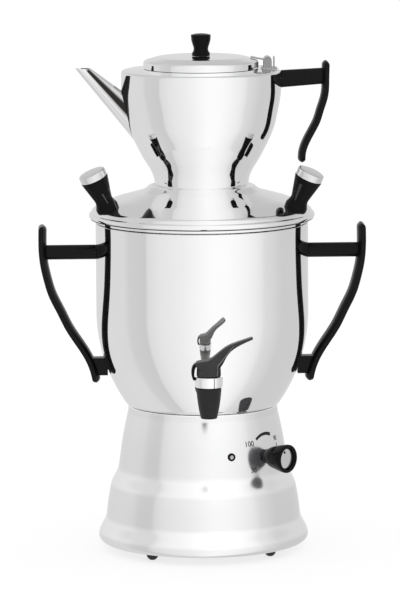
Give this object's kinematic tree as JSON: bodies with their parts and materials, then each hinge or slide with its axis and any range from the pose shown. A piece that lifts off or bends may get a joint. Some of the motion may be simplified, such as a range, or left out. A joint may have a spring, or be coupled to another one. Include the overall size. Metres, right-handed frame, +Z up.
{
  "type": "samovar",
  "caption": "Electric samovar: round stepped base, steel water vessel with a lever tap and side handles, domed lid and a spouted teapot on top.",
  "frame": {"origin": "centre of the bounding box's footprint, on the floor under the feet", "axes": "+Z up, the tap to -Y, the teapot's spout to -X"},
  "size_m": [0.2868, 0.257, 0.4558],
  "materials": {
    "polished_steel": "mirror polished stainless steel",
    "satin_steel": "satin stainless steel",
    "dark_steel": "plain steel",
    "chrome_trim": "bright chrome",
    "black_plastic": "black phenolic plastic, semi-gloss",
    "rubber": "black rubber",
    "lamp_lens": "clear grey lens",
    "ceramic": "matt ceramic"
  },
  "bodies": {
    "samovar": {"base_shell": "satin_steel", "base_plate": "dark_steel", "foot_1": "rubber", "foot_2": "rubber", "foot_3": "rubber", "foot_4": "rubber", "thermostat_body": "ceramic", "lamp_bezel": "black_plastic", "lamp_lens": "lamp_lens", "lamp_body": "ceramic", "cable_gland": "black_plastic", "gland_nut": "black_plastic", "terminal_block": "ceramic", "vessel_shell": "polished_steel", "vessel_nut_1": "dark_steel", "vessel_nut_2": "dark_steel", "vessel_nut_3": "dark_steel", "heating_element": "dark_steel", "element_nut_1": "dark_steel", "element_nut_2": "dark_steel", "side_handle_left": "black_plastic", "side_handle_right": "black_plastic", "handle_bolt_upper_left": "dark_steel", "handle_bolt_lower_left": "dark_steel", "handle_bolt_upper_right": "dark_steel", "handle_bolt_lower_right": "dark_steel", "tap_body": "black_plastic", "tap_ring": "chrome_trim", "tap_gasket": "rubber", "tap_inner_seal": "rubber", "tap_nut": "dark_steel"},
    "thermostat": {"thermostat_knob": "black_plastic", "thermostat_disc": "chrome_trim", "thermostat_shaft": "dark_steel"},
    "tap_valve": {"tap_lever": "black_plastic", "tap_plug": "black_plastic"},
    "lid": {"vessel_lid": "polished_steel", "lid_knob_left": "black_plastic", "lid_knob_right": "black_plastic", "lid_knob_cap_left": "chrome_trim", "lid_knob_cap_right": "chrome_trim", "lid_knob_nut_left": "dark_steel", "lid_knob_nut_right": "dark_steel"},
    "teapot": {"teapot_body": "polished_steel", "teapot_spout": "polished_steel", "teapot_handle": "black_plastic", "teapot_handle_bolt": "dark_steel", "hinge_bracket": "chrome_trim", "hinge_pin": "chrome_trim"},
    "teapot_cap": {"teapot_lid": "polished_steel", "hinge_strap": "chrome_trim", "teapot_lid_knob": "black_plastic", "teapot_lid_screw": "dark_steel"}
  },
  "joints": [
    {"name": "thermostat_turn", "type": "hinge", "parent": "samovar", "child": "thermostat", "pos_m": [0.05374, -0.02059, 0.091], "axis": [-0.7314, 0.682, 0], "range_deg": [0, 270]},
    {"name": "tap_lever_turn", "type": "hinge", "parent": "samovar", "child": "tap_valve", "pos_m": [0, -0.11647, 0.18], "axis": [0, 0, -1], "range_deg": [0, 90]},
    {"name": "lid_lift", "type": "slide", "parent": "samovar", "child": "lid", "axis": [0, 0, 1], "range_m": [0, 0.12]},
    {"name": "teapot_lift", "type": "slide", "parent": "lid", "child": "teapot", "axis": [0, 0, 1], "range_m": [0, 0.12]},
    {"name": "teapot_lid_hinge", "type": "hinge", "parent": "teapot", "child": "teapot_cap", "pos_m": [0.0581, 0.02952, 0.432], "axis": [0, 1, 0], "range_deg": [0, 100]}
  ]
}
